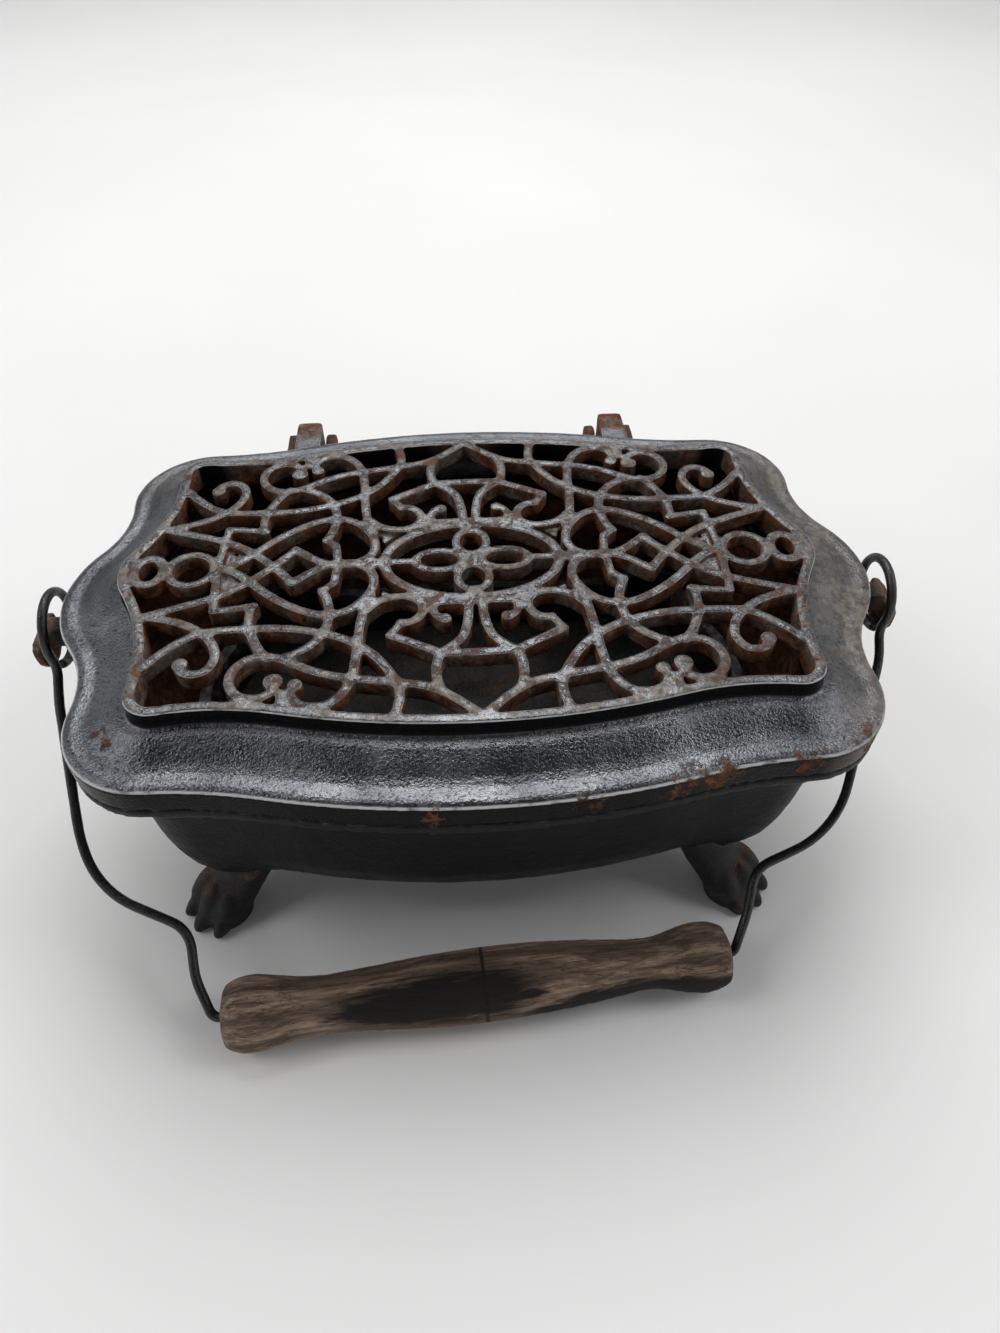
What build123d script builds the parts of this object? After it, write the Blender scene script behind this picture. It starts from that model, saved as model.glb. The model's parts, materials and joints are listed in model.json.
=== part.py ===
from build123d import *
from dataclasses import dataclass, fields
from math import atan2, cos, degrees, radians, sin, sqrt
import os

# Antique cast-iron foot warmer: a tub on four paw feet, a pierced lid hinged at the back,
# a wire bail with a turned wooden grip and a loose ember pan inside.
# X is to the right, Y to the back, Z up. The floor is at Z = 0. Millimetres.

# ---------------------------------------------------------------- driving dimensions
overall_height = 115.0          # floor to the top of the closed lid

lid_length = 285.6              # along X, over the side bows
lid_width = 189.8               # along Y, over the front and back bows
side_bow_radius = 41.6
corner_radius = 28.5
corner_inset_x = 42.3           # corner arc's centre, in from the lid's end
corner_inset_y = 39.9           # and in from its front
side_waist_radius = 37.0        # hollow stretches between bow and corner
front_waist_radius = 165.0
front_bow_radius = 295.0

flange_width = 22.3             # moulded border between the grille's wall and the lid's edge
plateau_side_bow_radius = 19.3  # raised grille's own outline
plateau_corner_radius = 9.0
plateau_corner_shift = 1.8
plateau_side_waist_radius = 75.0
plateau_front_waist_radius = 94.0

grille_thickness = 6.0
border_width = 3.5
web_drop = 2.2                  # thin webs that close the smallest holes, below the top
plate_thickness = 4.0           # iron of the flange
skirt_thickness = 4.5
skirt_height = 8.6
edge_drop = 12.2                # lid's edge below the grille's top
moulding = (                    # share of the flange's width, drop below the grille's top
    (0.18, 6.7), (0.36, 8.4), (0.54, 10.3), (0.68, 11.15), (0.78, 11.1),
    (0.87, 10.9), (0.95, 11.35),
)
seat_gap = 0.2                  # between the closed lid and the tub's rim

rim_thickness = 4.6
rim_overhang = 14.4             # rim beyond the tub's wall, at the ends
front_fullness = 1.8            # and by how much less at the front and back
tub_wall = 4.5
tub_floor_height = 25.0         # underside of the tub above the floor
front_turn = 23.0               # quarter-round turn from the front wall to the underside
end_turn = 20.0                 # longer turn at the ends: how far in
end_turn_share = 0.965          # and its share of the wall's height
turn_fullness = 2.87             # 2 is an ellipse, more is fuller
floor_side_bow_radius = 52.0    # outline of the flat underside
floor_corner_radius = 12.0
floor_corner_shift_x = 17.5     # corner arc's centre, in from the wall's own
floor_corner_shift_y = 3.0
floor_side_waist_radius = 130.0
floor_front_waist_radius = 105.0
air_slit_length = 90.0          # scooped out of the rim at the back
air_slit_depth = 2.7

hinge_spacing = 130.8
hinge_axis_behind = 9.1         # behind the lid's back edge
hinge_axis_drop = 4.5           # below the rim's top
hinge_width = 21.0
ear_thickness = 4.9
ear_radius = 8.4
tongue_clearance = 0.3          # each side, between the ears
tongue_radius = 7.5
tongue_top_drop = 13.9          # below the grille's top
tongue_corner_radius = 5.0
tongue_nose = 4.0               # round over the back end of the tongue
pin_radius = 2.0
pin_clearance = 0.08
pin_stand_out = 0.4

lug_neck_width = 8.0
lug_neck_depth = 9.0
lug_head_radius = 10.5
lug_head_thickness = 3.9
lug_head_drop = 7.2             # head's centre below the rim's top
lug_stand_out = 13.2            # head's outer face beyond the lid's end
lug_shift = 2.0                 # lugs stand this far in front of the middle
lug_dome = 1.2
lug_head_cut = 3.0              # flat top of the head below the rim's top

wire_radius = 1.7
eye_radius = 13.0               # to the middle of the wire
eye_bend_radius = 8.0
eye_end_angle = 348.0
eye_clearance = 0.5             # between the right eye and its lug's head
bail_slack = 1.0                # the bail hangs this far to the right
bail_axis_shift = 1.5           # axis in front of the middle
bail_axis_drop = 2.7            # below the rim's top

grip_length = 175.6
grip_radius = 12.6
grip_shift = 3.4                # middle of the grip, to the left
grip_left_front = 113.8         # grip's axis in front of the middle, at its left end
grip_right_front = 102.8
grip_profile = (                # share of the length, share of the radius
    (0.0, 0.78), (0.045, 1.0), (0.11, 0.88), (0.165, 0.78), (0.22, 0.785), (0.35, 0.91),
    (0.5, 1.0), (0.62, 0.95), (0.78, 0.755), (0.85, 0.71), (0.91, 0.9), (0.955, 0.96), (1.0, 0.76),
)
grip_bore_clearance = 0.3
floor_clearance = 0.2           # under the grip

pan_wall = 1.5
pan_height = 20.0
pan_side_gap = 1.5              # between the pan's foot and the inside of the tub
pan_flare = 3.5
pan_seat_gap = 0.2
pan_rim = 2.5

rivet_radius = 2.5
rivet_head_radius = 4.5
rivet_head_height = 2.0
rivet_clearance = 0.05
rivet_inset = 16.0              # from the edges of the tub's flat underside, each way

toe_stand_out_x = 13.6          # tip of the middle toe beyond the underside's corner
toe_stand_out_y = 13.4
ankle_inset_x = 6.9             # middle of the ankle, in from that corner
ankle_inset_y = 7.0
ankle_length = 11.0             # half axes of the ankle
ankle_width = 12.0
tab_thickness = 4.0             # tongue of the foot under the tub, for the rivet
tab_width = 15.0
toe_direction = 50.0            # degrees from the X axis
toe_radius = 3.5
toe_spread = 6.4
toe_length = 9.0
toe_fan = 12.0                  # degrees between toes
toe_droop = 24.0
knuckle_radius = 4.2
knuckle_length = 9.5            # half axis of the ridge from each toe up to the ankle
knuckle_height = 11.0
knuckle_droop = 44.0
foot_slip = 2.0                 # all four feet stand this far to the left
foot_skew = 1.8                 # the right ones further out than the left ones

# ---------------------------------------------------------------- worked-out places
half_length = lid_length / 2
rivet_length = tub_wall + tab_thickness
half_width = lid_width / 2
lid_bottom = overall_height - edge_drop - skirt_height
rim_top = lid_bottom - seat_gap
rim_bottom = rim_top - rim_thickness
end_turn_height = (rim_bottom - tub_floor_height) * end_turn_share
grille_bottom = overall_height - grille_thickness
hinge_y = half_width + hinge_axis_behind
hinge_z = rim_top - hinge_axis_drop
bail_y = -bail_axis_shift
bail_z = rim_top - bail_axis_drop
grip_z = grip_radius + floor_clearance
grip_left_end = grip_length / 2 + grip_shift
grip_right_end = grip_length / 2 - grip_shift
lug_reach = half_length + lug_stand_out
eye_reach = lug_reach - lug_head_thickness - eye_clearance - wire_radius - bail_slack
grip_start = Vector(-grip_left_end, -grip_left_front, grip_z)
grip_stop = Vector(grip_right_end, -grip_right_front, grip_z)
corners = ((-1, -1, "front_left"), (1, -1, "front_right"), (-1, 1, "back_left"), (1, 1, "back_right"))


# ---------------------------------------------------------------- outlines of tangent arcs
@dataclass
class Outline:
    """Four bows, four corners and eight hollow waists, alike in all four quarters."""
    half_length: float
    half_width: float
    side_radius: float
    front_radius: float
    corner_x: float
    corner_y: float
    corner_radius: float
    side_waist: float
    front_waist: float


def blend(first, last, share):
    """The outline that lies this share of the way from the first to the last."""
    values = [
        getattr(first, f.name) * (1 - share) + getattr(last, f.name) * share
        for f in fields(Outline)
    ]
    return Outline(*values)


def grow(outline, distance):
    """The outline moved outwards by a distance, or inwards if it is negative."""
    return Outline(
        outline.half_length + distance,
        outline.half_width + distance,
        outline.side_radius + distance,
        outline.front_radius + distance,
        outline.corner_x,
        outline.corner_y,
        outline.corner_radius + distance,
        outline.side_waist - distance,
        outline.front_waist - distance,
    )


def hollow_centre(first, first_radius, last, last_radius, radius):
    """Centre of the arc that touches both circles from outside, left of first to last."""
    gap = (last - first).length
    to_first = first_radius + radius
    to_last = last_radius + radius
    along = (to_first**2 - to_last**2 + gap**2) / (2 * gap)
    across = sqrt(to_first**2 - along**2)
    ahead = (last - first).normalized()
    return first + ahead * along + Vector(ahead.Y, -ahead.X) * across


def arc_middle(centre, radius, first, last):
    """Middle of the shorter arc between two points of a circle."""
    return centre + ((first + last) / 2 - centre).normalized() * radius


def quarter(outline):
    """Arcs of the first quarter, from the X axis to the Y axis, each as start, middle, end."""
    bow = Vector(outline.half_length - outline.side_radius, 0)
    corner = Vector(outline.corner_x, outline.corner_y)
    front = Vector(0, outline.half_width - outline.front_radius)
    side_hollow = hollow_centre(
        bow, outline.side_radius, corner, outline.corner_radius, outline.side_waist
    )
    front_hollow = hollow_centre(
        corner, outline.corner_radius, front, outline.front_radius, outline.front_waist
    )
    joints = [
        Vector(outline.half_length, 0),
        bow + (side_hollow - bow).normalized() * outline.side_radius,
        corner + (side_hollow - corner).normalized() * outline.corner_radius,
        corner + (front_hollow - corner).normalized() * outline.corner_radius,
        front + (front_hollow - front).normalized() * outline.front_radius,
        Vector(0, outline.half_width),
    ]
    circles = [
        (bow, outline.side_radius),
        (side_hollow, outline.side_waist),
        (corner, outline.corner_radius),
        (front_hollow, outline.front_waist),
        (front, outline.front_radius),
    ]
    return [
        (start, arc_middle(centre, radius, start, end), end)
        for (centre, radius), start, end in zip(circles, joints, joints[1:])
    ]


def ring(outline, height):
    """The whole outline as a closed wire at a height."""
    arcs = []
    for side_x, side_y in ((1, 1), (-1, 1), (-1, -1), (1, -1)):
        part = [
            [Vector(p.X * side_x, p.Y * side_y, height) for p in arc] for arc in quarter(outline)
        ]
        if side_x * side_y < 0:
            part = [arc[::-1] for arc in reversed(part)]
        arcs += part
    return Wire([ThreePointArc(*arc) for arc in arcs])


def slab(outline, low, high):
    """Solid with upright walls between two heights."""
    return extrude(Face(ring(outline, low)), high - low)


def stack(levels):
    """Solid through outlines at rising heights."""
    return Solid.make_loft([ring(outline, height) for outline, height in levels], True)


plateau_length = half_length - flange_width
plateau_width = half_width - flange_width
lid_outline = Outline(
    half_length, half_width, side_bow_radius, front_bow_radius,
    half_length - corner_inset_x, half_width - corner_inset_y, corner_radius,
    side_waist_radius, front_waist_radius,
)
plateau_outline = Outline(
    plateau_length, plateau_width, plateau_side_bow_radius, front_bow_radius - flange_width,
    lid_outline.corner_x - plateau_corner_shift, lid_outline.corner_y, plateau_corner_radius,
    plateau_side_waist_radius, plateau_front_waist_radius,
)
wall_outline = blend(plateau_outline, lid_outline, 1 - rim_overhang / flange_width)
wall_outline.half_width += front_fullness


floor_outline = Outline(
    wall_outline.half_length - end_turn, wall_outline.half_width - front_turn,
    floor_side_bow_radius, wall_outline.front_radius,
    wall_outline.corner_x - floor_corner_shift_x, wall_outline.corner_y - floor_corner_shift_y,
    floor_corner_radius, floor_side_waist_radius, floor_front_waist_radius,
)
floor_reach_x = floor_outline.corner_x + floor_corner_radius
floor_reach_y = floor_outline.corner_y + floor_corner_radius


def turned(height, above):
    """How far the belly's turn has come in, as a share, at a height above its foot."""
    if above >= height:
        return 0.0
    return 1 - (1 - (1 - above / height) ** turn_fullness) ** (1 / turn_fullness)


def belly_outline(above, thickness):
    """The tub's outline at a height above the underside, moved in by a wall's thickness."""
    outline = blend(wall_outline, floor_outline, turned(end_turn_height, above))
    outline.half_width = wall_outline.half_width - front_turn * turned(front_turn, above)
    return grow(outline, -thickness)


# ---------------------------------------------------------------- the pierced grille
# The pattern is drawn for a plateau of this half size and follows the real plateau.
drawn_length = 120.5
drawn_width = 72.6


def at(x, y):
    """A point of the drawn pattern on the real plateau."""
    return Vector(x * plateau_length / drawn_length, y * plateau_width / drawn_width)


def dot(x, y, radius):
    """Round end, corner or ball of a bar."""
    return Pos(at(x, y)) * Circle(radius)


def bar(width, *points):
    """Bar of constant width that runs smoothly through its points, with round ends."""
    places = [at(*point) for point in points]
    if len(places) == 2:
        line = Line(*places)
        steps = 1
    else:
        line = Spline(*places)
        steps = 2 * len(places)
    left = []
    right = []
    for step in range(steps + 1):
        place = line @ (step / steps)
        ahead = line % (step / steps)
        across = Vector(-ahead.Y, ahead.X) * (width / 2)
        left.append(place + across)
        right.append(place - across)
    if steps == 1:
        body = make_face(Polyline(*left, *right[::-1], close=True))
    else:
        edges = [Spline(*left), Line(left[-1], right[-1]), Spline(*right[::-1]), Line(right[0], left[0])]
        body = make_face(Wire(edges))
    return [body, Pos(places[0]) * Circle(width / 2), Pos(places[-1]) * Circle(width / 2)]


def hoop(x, y, radius_x, radius_y, width):
    """Elliptical ring of constant width, given to its middle line."""
    outer = Ellipse(radius_x + width / 2, radius_y + width / 2)
    inner = Ellipse(radius_x - width / 2, radius_y - width / 2)
    return Pos(at(x, y)) * (outer - inner)


thin = 2.8
usual = 3.2
bold = 3.5


def end_motif():
    """Ring and circle at the end of the long axis, and the strap that boxes them in."""
    pieces = [hoop(110.3, 0, 5.0, 6.6, bold), hoop(96, 0, 7.7, 7.7, 3.0)]
    pieces += bar(thin, (87.3, -1), (86.6, 10), (85.8, 20.9))
    pieces += bar(thin, (85.8, 20.9), (79, 20.1), (72.6, 18.9))
    pieces += bar(thin, (73.4, 18.9), (73.8, 24), (73.3, 29.8))
    return pieces


def strapwork():
    """Long bands that cross the quarter and weave the diamond on the long axis."""
    pieces = bar(
        usual, (103.5, 44), (95, 34.8), (88, 30.7), (80, 29.8), (65, 29.8), (52, 32.2), (41, 36.8),
        (33, 43.5), (27.5, 51.5), (24.7, 59), (25.3, 65), (26.8, 71),
    )
    pieces += bar(
        usual, (109, 22.3), (100, 19.3), (90, 15.7), (80.5, 11), (73.5, 5.3), (68.3, 0), (64.5, -4.3),
        (61.3, -8.7),
    )
    pieces += bar(usual, (61.3, 8.7), (55, 3.4), (50, 0.6), (44, 0))
    pieces += bar(
        usual, (87, -0.6), (80.3, 2.8), (71, 11.8), (60, 20.5), (54, 23.5), (48.5, 24.7), (42.5, 23.2),
        (36.8, 18), (33.8, 11), (34.5, 5), (38, 1.5),
    )
    return pieces


def end_scroll():
    """Curl in the corner by the end of the plateau."""
    pieces = bar(
        usual, (109, 22), (95.5, 25.8), (87.8, 30.8), (82.9, 38), (82.8, 44.5), (86.2, 48.1),
        (90.4, 47.8), (92.6, 44),
    )
    pieces.append(dot(92.6, 43.8, 2.6))
    return pieces


def front_scrolls():
    """Two curls that meet below the corner, and the long tendril to the short axis."""
    pieces = bar(
        usual, (34.5, 16), (37, 25), (38, 35), (38.7, 47), (41.3, 57.5), (46, 62.5), (52, 63.3),
        (56.8, 60.3), (57.3, 56),
    )
    pieces.append(dot(56.5, 54.4, 2.4))
    pieces += bar(
        usual, (62.9, 53.5), (63.8, 57.2), (67.5, 59.2), (73, 58), (76.5, 53), (75.6, 46.8), (71, 42.7),
        (65, 42.3), (55, 47.3), (45, 51.5), (35, 53.6), (25, 55.4), (15, 58), (7.5, 63), (-1, 71),
    )
    pieces.append(dot(63.3, 52.6, 3.1))
    pieces += bar(usual, (60.2, 57.5), (60.2, 69))
    pieces += bar(usual, (73.3, 29.8), (71.5, 34), (69, 39), (66, 43))
    return pieces


def hooks():
    """Hook beside the medallion, with its two square corners."""
    pieces = bar(thin, (46.3, 0), (47.2, 9.8))
    pieces += bar(thin, (47.2, 9.8), (51, 12.9))
    pieces += bar(usual, (51, 12.9), (48.8, 18), (47.9, 25), (49.6, 33.5), (54.5, 39.5), (61, 43))
    return pieces


def crown():
    """Curls in front of the medallion, up to the pointed leaf on the short axis."""
    pieces = bar(
        usual, (35.5, 23), (31, 18.8), (26, 17.4), (21, 18.2), (17.5, 22), (18.6, 27.4), (24.5, 29.7)
    )
    pieces += bar(thin, (24.5, 29.7), (28, 35.2))
    pieces += bar(usual, (28, 35.2), (20, 39.4), (12.3, 43.6))
    pieces += bar(thin, (13.2, 21), (13.8, 25.5), (11.5, 28.5))
    pieces.append(dot(10.2, 28.6, 2.2))
    pieces += bar(usual, (2.2, 20), (2.9, 30), (6, 38.7), (12, 44.5), (13.6, 51), (11.7, 60))
    pieces += bar(usual, (12.5, 43.8), (6, 44.1), (-1, 44.2))
    pieces.append(Pos(at(8, 20.3)) * Rectangle(20, 4.2))
    return pieces


def medallion():
    """Oval ring in the middle, held by a bridge, around a plain four-lobed rosette."""
    ring_x = 30.4
    ring_y = 19.0
    pieces = [hoop(0, 0, ring_x, ring_y, bold)]
    pieces += bar(4.4, (ring_x, 0), (46, 0))
    pieces.append(hoop(11.5, 0, 8.2, 5.0, thin))
    pieces.append(hoop(0, 9.2, 5.4, 6.2, thin))
    pieces.append(dot(0, 0, 4.2))
    pieces += bar(thin, (19, 0), (ring_x, 0))
    pieces += bar(thin, (0, 15), (0, ring_y))
    return pieces


def webs():
    """Thin webs cast in the smallest holes of the pattern."""
    corners = (
        ((31, 12), (25.5, 16.5), (32, 17)),
        ((62, 60), (57.5, 63), (59, 59)),
        ((85, 1), (85, 10.5), (77.5, 6)),
    )
    faces = [make_face(Polyline(*[at(*place) for place in hole], close=True)) for hole in corners]
    half = faces + [mirror(face, Plane.XZ) for face in faces]
    return half + [mirror(face, Plane.YZ) for face in half]


def grille_face():
    """The whole pierced pattern, trimmed by the plateau, with its border."""
    drawn = Sketch() + (
        end_motif() + strapwork() + end_scroll() + front_scrolls() + hooks() + crown() + medallion()
    )
    half = drawn + mirror(drawn, Plane.XZ)
    whole = half + mirror(half, Plane.YZ)
    plate = Face(ring(plateau_outline, 0))
    opening = Face(ring(grow(plateau_outline, -border_width), 0))
    return (whole & plate) + (plate - opening)


# ---------------------------------------------------------------- the lid
def flange():
    """Moulded border of the lid, hollow below, open in the middle."""
    outer = [(lid_outline, lid_bottom), (lid_outline, overall_height - edge_drop)]
    for share, drop in reversed(moulding):
        outer.append((blend(plateau_outline, lid_outline, share), overall_height - drop))
    outer.append((plateau_outline, grille_bottom))
    skirt_share = 1 - skirt_thickness / flange_width
    inside = grow(plateau_outline, -border_width)
    inner = [(blend(plateau_outline, lid_outline, skirt_share), lid_bottom)]
    for share, drop in reversed(moulding):
        if share < skirt_share:
            level = overall_height - drop - plate_thickness
            inner.append((blend(plateau_outline, lid_outline, share), level))
    inner.append((plateau_outline, grille_bottom - plate_thickness))
    inner.append((inside, grille_bottom - plate_thickness + 0.1))
    inner.append((inside, grille_bottom))
    return stack(outer) - stack(inner)


def tongue(side):
    """Hinge arm of the lid, with the eye that the pin goes through."""
    width = hinge_width - 2 * ear_thickness - 2 * tongue_clearance
    top = overall_height - tongue_top_drop
    root = half_width - flange_width / 2
    back = hinge_y + tongue_radius
    outline = make_face(
        Polyline(
            (root, lid_bottom), (root, top), (hinge_y, top), (hinge_y, lid_bottom), close=True
        )
    )
    nose = make_face(
        [
            Line((hinge_y, top), (hinge_y, hinge_z)),
            Line((hinge_y, hinge_z), (back, hinge_z)),
            Line((back, hinge_z), (back, top - tongue_nose)),
            ThreePointArc(
                (back, top - tongue_nose), (back - tongue_nose * 0.3, top - tongue_nose * 0.3),
                (back - tongue_nose, top),
            ),
            Line((back - tongue_nose, top), (hinge_y, top)),
        ]
    )
    eye = Pos(hinge_y, hinge_z) * Circle(tongue_radius)
    profile = Sketch() + [outline, nose, eye]
    profile -= Pos(hinge_y, hinge_z) * Circle(pin_radius + pin_clearance)
    arm = extrude(Plane.YZ * profile, width / 2, both=True)
    plan = Pos(0, root) * Rectangle(width, 2 * (back - root))
    plan = fillet(plan.vertices().group_by(Axis.Y)[-1], tongue_corner_radius)
    arm &= Pos(0, 0, hinge_z - 2 * tongue_radius) * extrude(plan, 4 * tongue_radius)
    return Pos(side * hinge_spacing / 2, 0, 0) * arm


def lid():
    """Grille, flange and both hinge tongues in one casting."""
    pierced = Pos(0, 0, grille_bottom) * extrude(grille_face(), grille_thickness)
    for web in webs():
        pierced += Pos(0, 0, grille_bottom) * extrude(web, grille_thickness - web_drop)
    hollow = blend(plateau_outline, lid_outline, 1 - skirt_thickness / flange_width)
    under = slab(hollow, lid_bottom - 1, grille_bottom - plate_thickness - 5)
    body = flange() + pierced
    for side in (-1, 1):
        body += tongue(side) - under
    return body


# ---------------------------------------------------------------- the tub
def bowl(thickness, high):
    """Solid bowl, moved in by a thickness: turned below, upright above."""
    steps = 7
    scale_up = (end_turn_height - thickness) / end_turn_height
    levels = []
    for step in range(steps + 1):
        above = end_turn_height * (1 - abs(cos(radians(90 * step / steps))) ** (2 / turn_fullness))
        height = tub_floor_height + thickness + above * scale_up
        levels.append((belly_outline(above, thickness), height))
    return stack(levels) + slab(grow(wall_outline, -thickness), levels[-1][1], high)


def ear_profile():
    """Side view of a hinge ear, flat at the rim's top and round behind the pin."""
    eye = Pos(hinge_y, hinge_z) * Circle(ear_radius)
    root = half_width - flange_width / 2 - rim_overhang
    web = make_face(
        Polyline(
            (root, rim_top), (hinge_y, rim_top), (hinge_y, hinge_z - ear_radius * 0.97),
            (hinge_y - ear_radius, hinge_z - ear_radius), (root, hinge_z - 2 * ear_radius), close=True,
        )
    )
    profile = Sketch() + [eye, web]
    above = Pos(hinge_y, rim_top + ear_radius) * Rectangle(4 * ear_radius, 2 * ear_radius)
    return profile - above - Pos(hinge_y, hinge_z) * Circle(pin_radius)


def lug(side):
    """Neck and round head that carry one eye of the bail, flat at the rim's top."""
    neck_root = wall_outline.half_length - tub_wall / 2
    neck_end = lug_reach - lug_head_thickness
    neck = Pos((neck_root + neck_end) / 2, -lug_shift, rim_top - lug_neck_depth / 2) * Box(
        neck_end - neck_root, lug_neck_width, lug_neck_depth
    )
    neck = fillet(neck.edges().filter_by(Axis.X).group_by(Axis.Z)[0], lug_neck_width / 4)
    head = Pos(neck_end, -lug_shift, rim_top - lug_head_drop) * (
        Rot(0, 90, 0) * Cylinder(
            lug_head_radius, lug_head_thickness, align=(Align.CENTER, Align.CENTER, Align.MIN)
        )
    )
    head = chamfer(head.edges().group_by(Axis.X)[-1], lug_dome, 3 * lug_dome)
    head -= Pos(neck_end, -lug_shift, rim_top - lug_head_cut + lug_head_radius) * Box(
        4 * lug_head_thickness, 4 * lug_head_radius, 2 * lug_head_radius
    )
    shape = neck + head
    return shape if side > 0 else mirror(shape, Plane.YZ)


def rivet_place(side_x, side_y):
    """Middle of a foot's rivet on the tub's floor."""
    return Vector(
        side_x * (floor_reach_x - rivet_inset), side_y * (floor_reach_y - rivet_inset)
    )


def tub_envelope():
    """The tub's outer shape below the rim, filled."""
    return bowl(0.0, rim_bottom)


def tub():
    """Bowl with its rim, hinge ears and bail lugs in one casting."""
    body = tub_envelope() + slab(lid_outline, rim_bottom, rim_top)
    for side in (-1, 1):
        for place in (-1, 1):
            middle = side * hinge_spacing / 2 + place * (hinge_width - ear_thickness) / 2
            ear = extrude(Plane.YZ * ear_profile(), ear_thickness / 2, both=True)
            body += Pos(middle, 0, 0) * ear
        body += lug(side)
    body -= bowl(tub_wall, rim_top + 1)
    slit_depth = rim_overhang + 3 * tub_wall
    body -= Pos(0, half_width - slit_depth / 2, rim_top) * Box(
        air_slit_length, 2 * slit_depth, 2 * air_slit_depth
    )
    for side_x, side_y, _ in corners:
        body -= Pos(rivet_place(side_x, side_y)) * Pos(0, 0, tub_floor_height + tub_wall) * rivet(
            rivet_clearance
        )
    return body


# ---------------------------------------------------------------- feet and rivets
def rivet(extra=0.0):
    """Rivet with a countersunk head, hanging from its top face at Z = 0."""
    head = Cone(
        rivet_radius + extra, rivet_head_radius + extra, rivet_head_height,
        align=(Align.CENTER, Align.CENTER, Align.MAX),
    )
    shank = Cylinder(
        rivet_radius + extra, rivet_length + extra, align=(Align.CENTER, Align.CENTER, Align.MAX)
    )
    return head + shank


def foot(side_x, side_y, filled_tub):
    """Lion's paw: ankle under the tub, arched instep and three toes, flat soled."""
    corner = Vector(floor_reach_x - side_x * foot_slip, floor_reach_y + side_x * foot_skew)
    tip = corner + Vector(toe_stand_out_x, toe_stand_out_y)
    ankle = corner - Vector(ankle_inset_x, ankle_inset_y)
    ankle_reach = (tip - ankle).length
    ahead = (tip - ankle).normalized()
    levels = (                  # height, share of the way to the tip, shares of the half axes
        (tub_floor_height + 22, -0.1, 1.1, 1.2), (tub_floor_height * 0.85, 0.03, 1.0, 1.0),
        (tub_floor_height * 0.5, 0.30, 1.0, 0.95), (tub_floor_height * 0.2, 0.5, 0.95, 0.9),
        (0.0, 0.52, 0.9, 0.84),
    )
    sections = []
    for height, share, long_share, wide_share in levels:
        place = ankle + ahead * (share * ankle_reach)
        plane = Plane(origin=(place.X, place.Y, height), x_dir=(ahead.X, ahead.Y, 0), z_dir=(0, 0, 1))
        sections.append(plane * Ellipse(ankle_length * long_share, ankle_width * wide_share))
    body = loft(sections)
    out = Vector(cos(radians(toe_direction)), sin(radians(toe_direction)))
    for spread in (-1, 0, 1):
        back = abs(spread) * toe_radius * 0.7 + toe_length * 0.85
        middle = tip - out * back + Vector(-out.Y, out.X) * (spread * toe_spread)
        heading = Rot(0, 0, toe_direction + spread * toe_fan)
        shape = scale(Sphere(toe_radius), by=(toe_length / toe_radius, 1, 1.35))
        body += Pos(middle.X, middle.Y, toe_radius * 1.25) * heading * Rot(0, toe_droop, 0) * shape
        knuckle = middle - out * (knuckle_length * 0.35)
        ridge = scale(Sphere(knuckle_radius), by=(knuckle_length / knuckle_radius, 1, 1))
        body += Pos(knuckle.X, knuckle.Y, knuckle_height) * heading * Rot(0, knuckle_droop, 0) * ridge
    hole = rivet_place(1, 1)
    run = ankle - hole
    tab = Pos((ankle + hole) / 2) * Rot(0, 0, degrees(atan2(run.Y, run.X))) * (
        SlotCenterToCenter(run.length, tab_width)
    )
    body += Pos(0, 0, tub_floor_height - tab_thickness) * extrude(tab, tab_thickness)
    body -= Pos(tip.X, tip.Y, 0) * Box(
        8 * ankle_reach, 8 * ankle_reach, 4 * toe_length, align=(Align.CENTER, Align.CENTER, Align.MAX)
    )
    if side_x < 0:
        body = mirror(body, Plane.YZ)
    if side_y < 0:
        body = mirror(body, Plane.XZ)
    body -= filled_tub
    bore = Pos(rivet_place(side_x, side_y)) * Pos(0, 0, tub_floor_height + tub_wall)
    return body - bore * rivet(rivet_clearance)


def foot_rivets():
    """The four rivets, apart from each other."""
    height = tub_floor_height + tub_wall
    return Compound(
        [Pos(rivet_place(x, y)) * Pos(0, 0, height) * rivet() for x, y, _ in corners]
    )


# ---------------------------------------------------------------- hinge pins
def hinge_pin(side):
    """Straight pin through both ears and the lid's tongue."""
    length = hinge_width + 2 * pin_stand_out
    pin = Rot(0, 90, 0) * Cylinder(pin_radius, length)
    return Pos(side * hinge_spacing / 2, hinge_y, hinge_z) * chamfer(pin.edges(), pin_stand_out / 2)


# ---------------------------------------------------------------- bail
def arm_point(side, across, away):
    """Point of the bail's arm in the plane of its slope.

    Across is 0 at the grip's end face and 1 at the eye; away is 0 at the bail's axis and 1
    at the grip.
    """
    end = grip_start if side < 0 else grip_stop
    eye_x = side * eye_reach + bail_slack
    hang = Vector(0, end.Y - bail_y, end.Z - bail_z)
    return Vector(end.X + (eye_x - end.X) * across, bail_y, bail_z) + hang * away


def eye_arcs(side):
    """Bend and loop at the end of an arm, in the plane across the bail's axis."""
    centre = arm_point(side, 1, 0)
    down = (arm_point(side, 1, 1) - centre).normalized()
    up = Vector(0, -down.Z, down.Y) if down.Y > 0 else Vector(0, down.Z, -down.Y)
    run = sqrt(eye_radius**2 + 2 * eye_radius * eye_bend_radius)
    start = degrees(atan2(eye_bend_radius, run))

    def place(across, away):
        return centre + down * away + up * across

    def on_eye(angle):
        return place(eye_radius * sin(radians(angle)), eye_radius * cos(radians(angle)))

    bend_angle = radians(-90 - (90 - start) / 2)
    bend_middle = place(
        eye_bend_radius + eye_bend_radius * sin(bend_angle), run + eye_bend_radius * cos(bend_angle)
    )
    bend = ThreePointArc(place(0, run), bend_middle, on_eye(start))
    loop = ThreePointArc(on_eye(start), on_eye((start + eye_end_angle) / 2), on_eye(eye_end_angle))
    return place(0, run), bend, loop


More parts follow.
